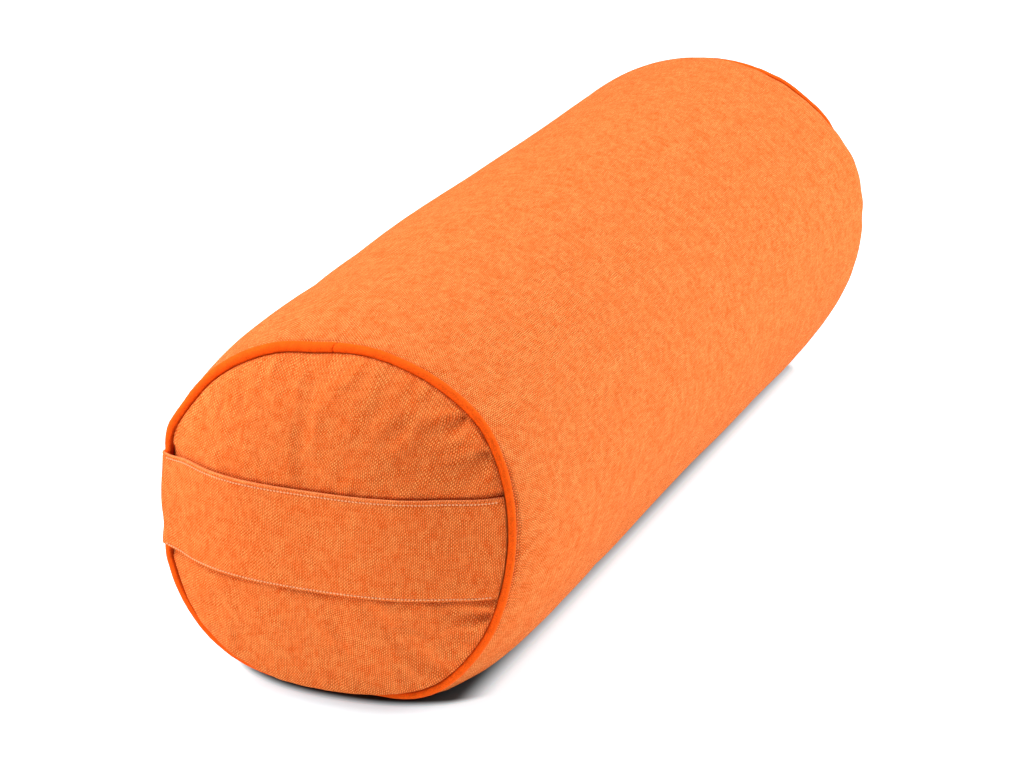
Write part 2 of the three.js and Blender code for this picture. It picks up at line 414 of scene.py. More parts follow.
def new_piece(name, mesh, material):
    """An object with its material and its ride on the bolster"""
    piece = linked(name, mesh)
    piece.data.materials.append(material)
    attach(piece, BODY)
    return piece


# Materials

# Painted highlight along a folded edge, where its threads catch the light
FOLD_HIGHLIGHT = (0.95, 0.36, 0.14, 1.0)

# Painted shade: the end pieces' copy of the canvas has its red, green and blue times these shares, a shaded copy,
# deeper and more saturated than the wrap's, standing in for the different light that falls on the end face
END_PAINTED_SHADE = (1.05, 0.93, 0.84)

# Distance between the slanting threads of the bias-cut cloth and between the plies of the sewing thread
BIAS_PITCH, PLY_PITCH = 0.00042, 0.0004

BLACK = (0.0, 0.0, 0.0, 1.0)


class Shades:
    """Adds nodes to a material and gives back their output sockets"""

    def __init__(self, name):
        self.material = bpy.data.materials.new(name)
        self.material.use_nodes = True
        self.tree = self.material.node_tree
        self.surface = self.tree.nodes["Principled BSDF"].inputs

    def put(self, socket, value):
        if isinstance(value, bpy.types.NodeSocket):
            self.tree.links.new(value, socket)
        else:
            socket.default_value = value

    def node(self, kind, output, inputs, **settings):
        """A node with its settings, its inputs by name or number, and the output that is wanted"""
        node = self.tree.nodes.new(kind)
        for key, value in settings.items():
            setattr(node, key, value)
        for key, value in inputs.items():
            self.put(node.inputs[key], value)
        return node.outputs[output]

    def math(self, operation, *values):
        return self.node("ShaderNodeMath", 0, dict(enumerate(values)), operation=operation)

    def vector_math(self, operation, *values):
        return self.node("ShaderNodeVectorMath", 0, dict(enumerate(values)), operation=operation)

    def mix(self, factor, a, b, blend="MIX"):
        return self.node(
            "ShaderNodeMix", 2, {0: factor, 6: a, 7: b}, data_type="RGBA", blend_type=blend, clamp_factor=True,
        )

    def between(self, value, low, high, to_low=0.0, to_high=1.0):
        """A value carried from low..high to to_low..to_high, smoothly, and held outside"""
        return self.node(
            "ShaderNodeMapRange", 0, {0: value, 1: low, 2: high, 3: to_low, 4: to_high},
            interpolation_type="SMOOTHSTEP",
        )

    def noise(self, vector, scale, detail=2.0, roughness=0.5):
        return self.node(
            "ShaderNodeTexNoise", 0,
            {"Vector": vector, "Scale": scale, "Detail": detail, "Roughness": roughness},
        )

    def split(self, vector):
        node = self.tree.nodes.new("ShaderNodeSeparateXYZ")
        self.put(node.inputs[0], vector)
        return node.outputs

    def join(self, x, y, z=0.0):
        return self.node("ShaderNodeCombineXYZ", 0, {0: x, 1: y, 2: z})

    def weave(self):
        return self.node("ShaderNodeUVMap", 0, {}, uv_map=WEAVE_UV)

    def shaded(self, colour, share):
        return self.mix(1.0, colour, self.join(share, share, share), "MULTIPLY")

    def finish(self, colour, roughness, specular, relief=None):
        """Sets the surface's colour, roughness, specular level and, as height, strength and distance, its relief"""
        self.put(self.surface["Base Color"], colour)
        self.surface["Roughness"].default_value = roughness
        self.surface["Specular IOR Level"].default_value = specular
        if relief:
            inputs = dict(zip(("Height", "Strength", "Distance"), relief))
            self.put(self.surface["Normal"], self.node("ShaderNodeBump", 0, inputs))
        return self.material


def tinted(colour, brightness):
    """A colour with its three channels times a brightness, held at 1"""
    return tuple(min(1.0, channel * brightness) for channel in colour[:3]) + (1.0,)


def canvas_material(name, deep, pale, pitch, depth, fold):
    """Heathered canvas in plain weave, drawn on the piece's own weave coordinates in metres.

    Pale warp threads stand in columns a pitch apart and deeper weft threads in closer rows. A thread's height is the
    sine across its width plus a share of its wave over and under; the higher of the two threads shows, with its
    own colour. A slanting term, cos(pi u) cos(pi v), leans the floats as the yarn's twist does. Depth says how
    dark the painted shade in the hollows between the threads is, beside a painted highlight on their tops, and fold
    at which v, if any, a painted highlight runs along a folded edge.
    """
    s = Shades(name)
    place = s.weave()
    from_fold = s.math("ABSOLUTE", s.math("SUBTRACT", s.split(place)[1], fold))
    for scale, reach in ((22.0, 5.0), (180.0, 1.3)):
        wander = s.node("ShaderNodeTexNoise", 1, {"Vector": place, "Scale": scale, "Detail": 1.0})
        wander = s.vector_math("SUBTRACT", wander, (0.5, 0.5, 0.5))
        wander = s.node("ShaderNodeVectorMath", 0, {0: wander, "Scale": pitch * reach}, operation="SCALE")
        place = s.vector_math("ADD", place, wander)
    u, v, _ = s.split(s.vector_math("MULTIPLY", place, (1 / pitch, 1 / (pitch * ROW_CLOSENESS), 0.0)))
    column, row = s.math("FLOOR", u), s.math("FLOOR", v)
    turn_u, turn_v = s.math("MULTIPLY", u, math.pi), s.math("MULTIPLY", v, math.pi)
    sine_u, sine_v = s.math("SINE", turn_u), s.math("SINE", turn_v)
    across_warp, across_weft = s.math("ABSOLUTE", sine_u), s.math("ABSOLUTE", sine_v)
    column_side = s.math("MULTIPLY_ADD", s.math("PINGPONG", column, 1.0), 2.0, -1.0)
    row_side = s.math("MULTIPLY_ADD", s.math("PINGPONG", row, 1.0), 2.0, -1.0)
    warp = s.math("MULTIPLY_ADD", s.math("MULTIPLY", sine_v, column_side), 0.55, across_warp)
    weft = s.math("MULTIPLY_ADD", s.math("MULTIPLY", sine_u, row_side), -0.55, across_weft)
    height = s.math("MAXIMUM", warp, weft)
    lean = s.math("MULTIPLY", s.math("COSINE", turn_u), s.math("COSINE", turn_v))
    warp_shows = s.between(s.math("MULTIPLY_ADD", lean, -0.45, s.math("SUBTRACT", warp, weft)), -0.35, 0.35)
    # Shade of each thread, uneven along its length
    warp_shade = s.noise(s.join(s.math("MULTIPLY", column, 7.31), s.math("MULTIPLY", v, 0.13)), 1.0, 1.0)
    weft_shade = s.noise(s.join(s.math("MULTIPLY", u, 0.10), s.math("MULTIPLY", row, 5.77), 3.0), 1.0, 1.0)
    middle = tuple((a + b) / 2 for a, b in zip(deep, pale))
    warp_colour = s.mix(s.between(warp_shade, 0.28, 0.7), tinted(middle, 1.02), tinted(pale, 1.24))
    weft_colour = s.mix(s.between(weft_shade, 0.3, 0.72), tinted(deep, 0.86), tinted(middle, 0.84))
    colour = s.mix(warp_shows, weft_colour, warp_colour)
    # Slow blotches of the dye, and the painted shade between the threads
    blotch = s.noise(place, 85.0, 3.0, 0.6)
    colour = s.mix(s.between(blotch, 0.36, 0.66, 0.0, 0.33), colour, tinted(deep, 1.14))
    colour = s.mix(s.between(s.noise(place, 230.0, 2.0), 0.42, 0.72, 0.0, 0.36), colour, tinted(pale, 0.98))
    # Painted shade in the gaps between the threads, darker between the warp threads than between the weft
    # threads, with a painted highlight on the threads' tops
    hollow = s.math(
        "MULTIPLY",
        s.between(height, 0.2, 1.5, 1.0 - 0.42 * depth, 1.04 + 0.07 * depth),
        s.between(across_warp, 0.0, 0.6, 1.0 - 0.24 * depth, 1.0 + 0.03 * depth),
    )
    colour = s.shaded(colour, hollow)
    # Painted highlight along the folded edge
    if fold:
        fold_highlight = s.between(from_fold, 0.0002, 0.0007, 0.6, 0.0)
        colour = s.mix(s.math("MULTIPLY", fold_highlight, across_warp), colour, FOLD_HIGHLIGHT)
    return s.finish(colour, 0.95, 0.02, (height, 0.8, pitch * 0.2))


def cord_cover_material(name, colour, radius):
    """Plain bias-cut cloth round a cord of that radius, on weave coordinates in metres: fine slanting threads,
    faint creases and mottling, with painted shade towards the two cloths that it is sewn between"""
    s = Shades(name)
    place = s.weave()
    u, v, _ = s.split(place)
    slant_a = s.math("SINE", s.math("MULTIPLY", s.math("ADD", u, v), 2 * math.pi / BIAS_PITCH))
    slant_b = s.math("SINE", s.math("MULTIPLY", s.math("SUBTRACT", u, v), 2 * math.pi / BIAS_PITCH))
    threads = s.math("MULTIPLY", slant_a, slant_b)
    crease = s.noise(s.join(s.math("MULTIPLY_ADD", v, 0.8, u), s.math("MULTIPLY", v, 0.35)), 420.0, 2.0)
    mottle = s.noise(place, 260.0, 3.0)
    shade = s.mix(s.between(mottle, 0.3, 0.7), tinted(colour, 0.93), tinted(colour, 1.07))
    fleck_and_groove_shade = s.between(s.noise(place, 1300.0, 1.0), 0.3, 0.7, 0.86, 1.08)
    # Painted shade: darker towards the grooves against the two cloths that it is sewn between
    groove_shade_mask = s.math("COSINE", s.math("MULTIPLY_ADD", v, 1 / radius, -0.7))
    fleck_and_groove_shade = s.math("MULTIPLY", fleck_and_groove_shade, s.between(groove_shade_mask, -0.2, 0.35, 0.55, 1.0))
    height = s.math("MULTIPLY_ADD", threads, 0.12, crease)
    return s.finish(s.shaded(shade, fleck_and_groove_shade), 0.8, 0.05, (height, 0.7, 0.00035))


def thread_material(name, colour):
    """Twisted sewing thread: slanting plies along the weave coordinates"""
    s = Shades(name)
    u, v, _ = s.split(s.weave())
    ply = s.math("SINE", s.math("MULTIPLY", s.math("ADD", u, v), 2 * math.pi / PLY_PITCH))
    # Painted shade between the plies and painted highlight on their crests
    shade = s.between(ply, -1.0, 1.0, 0.82, 1.04)
    return s.finish(s.shaded(tinted(colour, 1.0), shade), 0.8, 0.08, (ply, 0.5, 0.0001))


def floor_material(name, colour):
    """Matt pale floor with painted light: it glows softly, tinted against the cloth's orange glow close to the bolster
    and plain white further out, but neither glows nor stays pale where the bolster stands, a painted contact shadow"""
    s = Shades(name)
    place = s.node("ShaderNodeTexCoord", "Object", {})
    x, y, _ = s.split(place)
    x, y = s.math("ABSOLUTE", x), s.math("ABSOLUTE", y)
    rounding = s.math("MULTIPLY", s.math("POWER", s.math("DIVIDE", x, 0.04), 2.4), STAND_ROUNDING)
    sides = s.math("DIVIDE", s.math("SUBTRACT", x, STAND[0]), STAND_SHADE[0])
    ends = s.math("DIVIDE", s.math("ADD", s.math("SUBTRACT", y, STAND[1]), rounding), STAND_SHADE[1])
    beyond = s.join(s.math("MAXIMUM", sides, 0.0), s.math("MAXIMUM", ends, 0.0))
    away = s.node("ShaderNodeVectorMath", 1, {0: beyond}, operation="LENGTH")
    far = s.between(away, 3.0, 14.0)
    tone_and_painted_shadow = s.between(s.noise(place, 3.0), 0.3, 0.7, 0.995, 1.0)
    base = s.mix(far, tuple(colour), FAR_FLOOR)
    # Painted contact shadow: the floor darkens and loses its glow towards where the bolster stands
    tone_and_painted_shadow = s.math("MULTIPLY", tone_and_painted_shadow, s.between(away, 0.1, 0.9, 0.08, 1.0))
    glow = s.mix(far, FLOOR_GLOW, FAR_FLOOR_GLOW)
    s.put(s.surface["Emission Color"], s.mix(s.between(away, 0.1, 0.9), BLACK, glow))
    s.surface["Emission Strength"].default_value = 1.0
    return s.finish(s.shaded(base, tone_and_painted_shadow), 0.9, 0.1)


def shared(name, make, *values):
    """The material of that name, made once"""
    return bpy.data.materials.get(name) or make(name, *values)


def canvas(name, depth, painted_shade_tint=(1.0, 1.0, 1.0), fold=0.0):
    """The canvas with the depth of its painted shade between the threads, its paints times a painted shade tint,
    and the v of a painted highlight along a fold
    """
    paints = (
        tuple(min(1.0, channel * share) for channel, share in zip(paint, (*painted_shade_tint, 1.0)))
        for paint in (colours().canvas, colours().canvas_pale)
    )
    return shared(name, canvas_material, *paints, sizes().thread_pitch, depth, fold)


# Cloth at rest

# Share by which each cloth is cut larger than its place, the pressure on it, and the frames it is given to settle
CUT_LARGER = 0.006
CLOTH_PRESSURE = 4.0
CLOTH_FRAMES = 20
# Passes in which the broad part of the movement is found, and the greatest height of a fold that is kept
END_FOLDS = (70, 0.0007)
WRAP_FOLDS = (60, 0.0010)


def settled(grid, quads, held, way):
    """How far each point of an open cloth moves until it rests: pinned at its held points and cut a little larger,
    it is pushed outwards (way 1) or inwards (way -1) by an even pressure, without gravity, for a fixed number of
    frames"""
    scene = bpy.context.scene
    points = grid.reshape(-1, 3)
    if way * signed_volume(points, quads) < 0:
        quads = quads[:, ::-1]
    mesh = bpy.data.meshes.new("cloth_trial")
    mesh.from_pydata(points, [], quads.tolist())
    mesh.update()
    trial = linked("cloth_trial", mesh)
    trial.vertex_groups.new(name="held").add(np.flatnonzero(held).tolist(), 1.0, "REPLACE")
    cloth = trial.modifiers.new("Cloth", "CLOTH")
    cloth.point_cache.frame_start = 1
    cloth.point_cache.frame_end = CLOTH_FRAMES
    for setting, value in {
        "quality": 6, "mass": 0.1, "tension_stiffness": 25, "compression_stiffness": 25, "shear_stiffness": 8,
        "bending_stiffness": 0.1, "shrink_min": -CUT_LARGER, "vertex_group_mass": "held", "use_pressure": True,
        "uniform_pressure_force": CLOTH_PRESSURE,
    }.items():
        setattr(cloth.settings, setting, value)
    cloth.settings.effector_weights.gravity = 0.0
    for frame in range(1, CLOTH_FRAMES + 1):
        scene.frame_set(frame)
    rested = trial.evaluated_get(bpy.context.evaluated_depsgraph_get()).data
    places = np.empty(points.size, dtype=np.float32)
    rested.vertices.foreach_get("co", places)
    bpy.data.objects.remove(trial)
    bpy.data.meshes.remove(mesh)
    scene.frame_set(1)
    return places.reshape(grid.shape).astype(float) - grid


def fine_part(moved, held, passes, reach, columns="edge"):
    """The folds of a grid of movements: the movement less its own average over the neighbours, taken in passes
    that keep the held points, and no longer than reach"""
    broad = moved.copy()
    loose = ~held[..., None]
    for _ in range(passes):
        padded = np.pad(np.pad(broad, ((1, 1), (0, 0), (0, 0)), mode="edge"), ((0, 0), (1, 1), (0, 0)), mode=columns)
        around = (padded[2:, 1:-1] + padded[:-2, 1:-1] + padded[1:-1, 2:] + padded[1:-1, :-2]) / 4
        broad = np.where(loose, (broad + around) / 2, broad)
    fine = moved - broad
    length = np.linalg.norm(fine, axis=-1, keepdims=True)
    return fine * np.tanh(length / reach) * reach / np.maximum(length, 1e-9)


# Wrap panel

WRAP_COLUMNS = 360
FIRST_ROW, ROW_GROWTH, LAST_POWER, SEAM_ROWS, EVEN_ROWS = 0.0045, 0.0015, 4.1, 40, 100


def wrap_rows():
    """Distances from the front seam at which the wrap is drawn: near both seams they grow as
    first + growth (e^t - 1), and between them they are even"""
    span = BACK["y"] - FRONT["y"]
    near = FIRST_ROW + ROW_GROWTH * (np.exp(np.linspace(0, LAST_POWER, SEAM_ROWS)) - 1)
    between = np.linspace(near[-1], span - near[-1], EVEN_ROWS)[1:-1]
    return np.concatenate([near, between, span - near[::-1]])


def wrap_section(y, angle):
    """Radius and centre height of the roll at each y: the middle's section, blended into each seam's by
    exp(-distance / reach), plus the filling's rises, each times its bump and exp(-((y - place) / length)^2)"""
    near_front, near_back = (
        np.exp(-np.abs(y - end["y"]) / (end["reach"] - end["short_reach"][2] * bump(angle, *end["short_reach"][:2])))
        for end in (FRONT, BACK)
    )
    near_middle = 1 - near_front - near_back
    from_middle = (2 * y - FRONT["y"] - BACK["y"]) / (BACK["y"] - FRONT["y"])
    full = waved_radius(MIDDLE, angle) * (1 + MIDDLE["belly"] * (1 - from_middle**2))
    radius = near_middle * full + near_front * waved_radius(FRONT, angle) + near_back * waved_radius(BACK, angle)
    for at, width, place, length, rise in FILLING:
        radius = radius + rise * bump(angle, at, width) * np.exp(-(((y - place) / length) ** 2))
    height = near_middle * MIDDLE["height"] + near_front * FRONT["height"] + near_back * BACK["height"]
    return radius, height


def wrap_points(angle):
    """The roll's skin from the front seam to the back one.

    Hollowed edges of radius piping + gap carry the cord. Between them the radius is the blended section's plus
    shallow ripples of the filling and puckers that die away from each seam, cut off level at the floor.
    """
    hollow = cord_radius(angle) + sizes().gap
    turn = np.radians(np.linspace(2.6, 86, 7))[:, None]
    edges = []
    for end in (FRONT, BACK):
        y = end["y"] - end["outward"] * hollow * np.sin(turn)
        edges.append(around_roll(y, seam_line(end, angle) - hollow * np.cos(turn), end["height"], angle))
    y = (FRONT["y"] + wrap_rows())[:, None]
    radius, height = wrap_section(y, angle)
    seed = sizes().ripple_seed
    span = BACK["y"] - FRONT["y"]
    inside = np.sin(math.pi * (y - FRONT["y"]) / span)
    radius = radius + FILLING_RIPPLES.height * inside * ripples(angle, y, seed, FILLING_RIPPLES)
    for end, number in ((FRONT, 1), (BACK, 2)):
        away = np.abs(y - end["y"])
        share = np.exp(-away / PUCKER_FADE) * (1 - np.exp(-away / PUCKER_SWELL))
        radius = radius + SEAM_PUCKERS.height * share * ripples(angle, away, seed + number, SEAM_PUCKERS)
    radius = flattened(radius, angle, height, WRAP_BEND)
    return np.concatenate([edges[0], around_roll(y, radius, height, angle), edges[1][::-1]])


def wrap_folds(points):
    """The folds that the wrap takes up at rest, from a cloth of every second row and column, carried evenly to
    the points between them"""
    coarse = points[::2, :-1:2]
    rows, columns = coarse.shape[:2]
    held = np.zeros((rows, columns), dtype=bool)
    held[:5] = held[-5:] = True
    quads = joined_columns(grid_quads(rows, columns + 1), columns + 1)
    folds = fine_part(settled(coarse, quads, held, 1), held, *WRAP_FOLDS, "wrap")
    row, column = np.arange(len(points)) / 2, np.arange(points.shape[1]) / 2
    below = np.minimum(row.astype(int), rows - 2)
    share = np.clip(row - below, 0, 1)[:, None, None]
    folds = folds[below] * (1 - share) + folds[below + 1] * share
    left = column.astype(int) % columns
    share = (column % 1)[None, :, None]
    folds = folds[:, left] * (1 - share) + folds[:, (left + 1) % columns] * share
    from_seam = np.minimum(points[..., 1] - FRONT["y"], BACK["y"] - points[..., 1])
    return folds * (1 - np.exp(-((from_seam / FOLD_GROWTH) ** 2)))[..., None]


def wrap_mesh():
    """The wrap's skin as a grid joined round the roll, with its two ends closed by flat discs to a pole"""
    angle = np.linspace(-math.pi / 2, 1.5 * math.pi, WRAP_COLUMNS + 1)
    points = wrap_points(angle)
    points = points + wrap_folds(points)
    points[..., 2] = np.maximum(points[..., 2], 0.0)
    around = np.linspace(0, 2 * math.pi * MIDDLE["radius"], WRAP_COLUMNS + 1)
    along = run_length(np.linalg.norm(np.diff(points, axis=0), axis=-1).mean(axis=1))
    poles = [(0.0, points[row, 0, 1], end["height"]) for row, end in ((0, FRONT), (-1, BACK))]
    return closed_tube("wrap_panel", points, weave_grid(around, along[:, None]), poles)


# End panels

PANEL_RINGS = 72
RING_CROWDING = 1.55
# Close to its rim the panel spreads along (1 - share) share^power, which peaks at about
SPREAD_POWER, SPREAD_PEAK = 20, 0.018
# How the cloth's threads lean against the level and the upright on the end panels
WEAVE_LEAN = (0.158, 0.03)


def disc_grid(rings):
    """Ring number and angle on a square grid of points: the ring is the greater of the two counts from the
    middle, and the angle goes evenly along each ring's square"""
    across, up = np.meshgrid(np.arange(-rings, rings + 1), np.arange(-rings, rings + 1), indexing="ij")
    ring = np.maximum(np.abs(across), np.abs(up))
    length = np.maximum(ring, 1)
    sideways = np.abs(across) >= np.abs(up)
    angle = np.where(
        sideways,
        math.pi / 4 * up / length * np.sign(across) + np.where(across < 0, math.pi, 0),
        math.pi / 2 * np.sign(up) - math.pi / 4 * across / length * np.sign(up),
    )
    return ring, angle


def pressed(rows, column, angle):
    """A column of a table of presses summed over its rows, each weighed by its bump"""
    return sum(row[column] * bump(angle, row[0], row[1]) for row in rows)


def gathered(angle, inwards, radius, gathers):
    """How deep the gathers lie at an angle and a distance inwards from the seam.

    Each is a valley exp(-(side / width)^2) with a ridge of a third of its depth on either side, times
    exp(-(inwards / length)^2), and it starts from nothing within two millimetres of the seam.
    """
    depth = 0.0
    for at, width, deep, length, slant in gathers:
        side = ((np.degrees(angle) - at + 540) % 360 - 180) * math.pi / 180 * radius - slant * inwards
        width = width * (0.55 + 0.9 * np.minimum(inwards / length, 1.2))
        valley = np.exp(-((side / width) ** 2)) - 0.36 * np.exp(-(((np.abs(side) - 2.1 * width) / width) ** 2))
        depth = depth + deep * valley * np.exp(-((inwards / length) ** 2)) * (1 - np.exp(-((inwards / 0.0016) ** 2)))
    return depth


def panel_shape(end, share, angle, presses, gathers):
    """Radius and y of an end panel at a share of the way from its crown to its rim.

    It stands out by lift + (crown - lift) (1 - share^roundness)^edge, less the depth of the gathers, and behind the
    strap the filling leans upwards by lean share sin(angle) (1 - share^2). Its rim lies against the piping: the
    cord's middle less sqrt(piping radius^2 - lift^2).
    """
    s = sizes()
    edge = PANEL_EDGE + pressed(presses, 2, angle)
    lift = RIM_LIFT + pressed(presses, 3, angle)
    rim = seam_line(end, angle) - np.sqrt(cord_radius(angle) ** 2 - lift**2) - s.gap
    full = s.panel_crown if end is FRONT else s.far_panel_crown
    crown = lift + (full - lift) * (1 - share**PANEL_ROUNDNESS) ** edge
    if end is FRONT:
        crown = crown + PANEL_LEAN * share * np.sin(angle) * (1 - share**2)
    y = end["y"] + end["outward"] * (crown - gathered(angle, (1 - share) * end["radius"], end["radius"], gathers))
    spread = EVEN_SPREAD + pressed(presses, 4, angle)
    radius = share * rim + (1 - share) * share**SPREAD_POWER / SPREAD_PEAK * spread
    return flattened(radius, angle, end["height"] - s.gap, PANEL_BEND), y


def behind_strap(x, z):
    """How far out the panel may stand at x and z: the inner face of the strap less the gap, and freely rising
    again above and below it"""
    s = sizes()
    half = s.strap_height / 2
    up = np.clip((z - s.strap_centre) / half, -1, 1)
    across = x / half_width_inside(s.strap_centre + up * half, np.where(x < 0, -1, 1))
    clearance = STRAP_CLEARANCE[0] + (STRAP_CLEARANCE[1] - STRAP_CLEARANCE[0]) * (up + 1) / 2
    out = strap_bow(np.clip(across, -1, 1), up)[..., 1] - STRAP_FOLD - clearance
    return out + RISE_BESIDE_STRAP * np.maximum(np.abs(z - s.strap_centre) - half, 0)


def panel_mesh(name, end, presses, gathers, seed):
    """An end panel: a square grid wrapped on the crowned face, then a short wall and a flat hidden back"""
    ring, angle = disc_grid(PANEL_RINGS)
    # Shares of the rings crowd together towards the rim
    step = np.linspace(0, 1, PANEL_RINGS + 1)
    share = (1 - (1 - step) ** RING_CROWDING)[ring]
    radius, y = panel_shape(end, share, angle, presses, gathers)
    for number, kind, fade in ((0, RIM_PUCKERS, share**9 * (1 - share**30)), (1, PANEL_RIPPLES, 1 - share**4)):
        y = y + end["outward"] * kind.height * fade * ripples(angle, share * 0.1, seed + number, kind)
    face = around_roll(y, radius, end["height"], angle)
    side = 2 * PANEL_RINGS + 1
    quads = grid_quads(side, side)
    held = share > 0.99
    face = face + fine_part(settled(face, quads, held, -1), held, *END_FOLDS)
    if end is FRONT:
        limit = behind_strap(face[..., 0], face[..., 2])
        face[..., 1] = end["y"] - soft_min(end["y"] - face[..., 1], limit, REST_BEND)
    flat = share * end["radius"]
    sideways, upwards = flat * np.cos(angle), flat * np.sin(angle)
    weave = weave_grid(sideways - WEAVE_LEAN[0] * upwards, upwards - WEAVE_LEAN[1] * sideways)
    # The rim's points in order, then the wall's foot and the pole of the back
    number = np.arange(side * side).reshape(side, side)
    rim = np.concatenate([number[0, :-1], number[:-1, -1], number[-1, :0:-1], number[:0:-1, 0]])
    rim_points = face.reshape(-1, 3)[rim]
    foot = rim_points.copy()
    foot[:, 1] = end["y"] + end["outward"] * sizes().gap / 2
    middle = np.array([[0.0, foot[0, 1], end["height"]]])
    count = len(rim)
    start = side * side
    here, following = np.arange(count), np.roll(np.arange(count), -1)
    wall = np.stack([rim, rim[following], start + following, start + here], axis=-1)
    back = np.stack([start + here, start + following, np.full(count, start + count)], axis=-1)
    # Seen from the middle of the roll, the face and the back have to turn opposite ways round
    points = np.concatenate([face.reshape(-1, 3), foot, middle])
    if np.sign(signed_volume(points, quads)) == np.sign(signed_volume(points, back)):
        wall, back = wall[:, ::-1], back[:, ::-1]
    wall_weave = np.repeat(weave[rim][:, None], 4, axis=1)
    return new_mesh(name, points, [quads, wall, back], [weave[quads], wall_weave, np.zeros((count, 3, 2))])


# Piping

PIPING_STEPS = 900
PIPING_SIDES = 32
# The joint's nick and, below zero, the swell beside it: depth, place along the cord and half width; then its slant
NICK = ((0.00055, 0.0, 0.00045), (-0.00012, 0.0022, 0.0016))
NICK_LEAN = 0.0007


def piping_mesh(name, end, seed, joint):
    """A cord carried round the seam line: the tube's radius is the cord's, with slight ripples and, at the
    joint, a narrow nick where the strip's ends meet"""
    s = sizes()
    steps = np.linspace(-math.pi / 2, 1.5 * math.pi, PIPING_STEPS + 1)
    at = math.radians(joint)
    near = at + np.radians(np.linspace(-1.6, 1.6, 33))
    steps = np.concatenate([steps[steps < near[0]], near, steps[steps > near[-1]]])
    side = np.linspace(0, 2 * math.pi, PIPING_SIDES + 1)
    centre = seam_line(end, steps)
    along = run_length(np.hypot(np.diff(centre), centre[1:] * np.diff(steps)))
    offset = (steps - at) * end["radius"]
    lean = offset[:, None] - NICK_LEAN * np.sin(side - 0.6)
    nick = sum(deep * np.exp(-(((lean - place) / width) ** 2)) for deep, place, width in NICK)
    uneven = 1 + CORD_RIPPLES.height * ripples(steps[:, None], 0 * side, seed, CORD_RIPPLES)
    creases = ripples(steps[:, None] + 0.03 * np.sin(side), 0 * side, seed + 1, CORD_CREASES)
    radius = cord_radius(steps[:, None]) * (uneven + CORD_CREASES.height * creases) - nick
    # Round the cord, side 0 faces away from the roll's axis and a quarter turn faces out along it
    reach = centre[:, None] + radius * np.cos(side)
    y = end["y"] + end["outward"] * radius * np.sin(side)
    points = around_roll(y, reach, end["height"], steps[:, None])
    rows = len(points)
    quads = grid_quads(rows, PIPING_SIDES + 1)
    weave = weave_grid(along[:, None], side * s.piping_radius)
    corners = joined_columns(quads, PIPING_SIDES + 1) % ((rows - 1) * PIPING_SIDES)
    return new_mesh(name, points[:-1, :-1].reshape(-1, 3), [corners], [weave[quads]])


# Strap

STRAP_STEPS = 260
# Share of its thickness that the strap loses where it goes round the cord and where it enters the right seam
STRAP_THINNING = 0.35
# Shares of the half width between which the topstitching runs
STITCHED = (-1.03, 0.975)


def half_width_inside(height, side):
    """Half the width inside the front piping at a height, on the side -1 or 1"""
    s = sizes()
    rise = height - FRONT["height"]
    radius = np.full_like(rise, FRONT["radius"])
    for _ in range(4):
        slope = np.arcsin(rise / radius)
        radius = seam_line(FRONT, np.where(side > 0, slope, math.pi - slope)) - s.piping_radius - 2 * s.gap
    return np.sqrt(radius**2 - rise**2)


def strap_level(across, up):
    """Height of the strap's cloth: centre + up times half its height, with the edges drawn towards each end along
    the smooth step share^2 (3 - 2 share)"""
    s = sizes()
    upper = lower = 0.0
    for start, over, at_top, at_bottom in STRAP_DRAWS:
        share = np.clip((across - start) / over * np.sign(start), 0, 1)
        share = share**2 * (3 - 2 * share)
        upper, lower = upper + at_top * share, lower + at_bottom * share
    return s.strap_centre + up * s.strap_height / 2 + (1 + up) / 2 * upper + (1 - up) / 2 * lower


def strap_bow(across, up):
    """Sideways place and outward distance of the strap's bow: end lift plus bow times (1 - |across|^power)"""
    s = sizes()
    share = (up + 1) / 2
    bow = s.strap_bow_bottom + (s.strap_bow_top - s.strap_bow_bottom) * share
    power = STRAP_BOW_POWERS[0] + (STRAP_BOW_POWERS[1] - STRAP_BOW_POWERS[0]) * share
    height = strap_level(across, up)
    out = STRAP_END_LIFT + bow * (1 - np.minimum(np.abs(across), 1) ** power)
    return np.stack([across * half_width_inside(height, np.where(across < 0, -1, 1)), out], axis=-1)


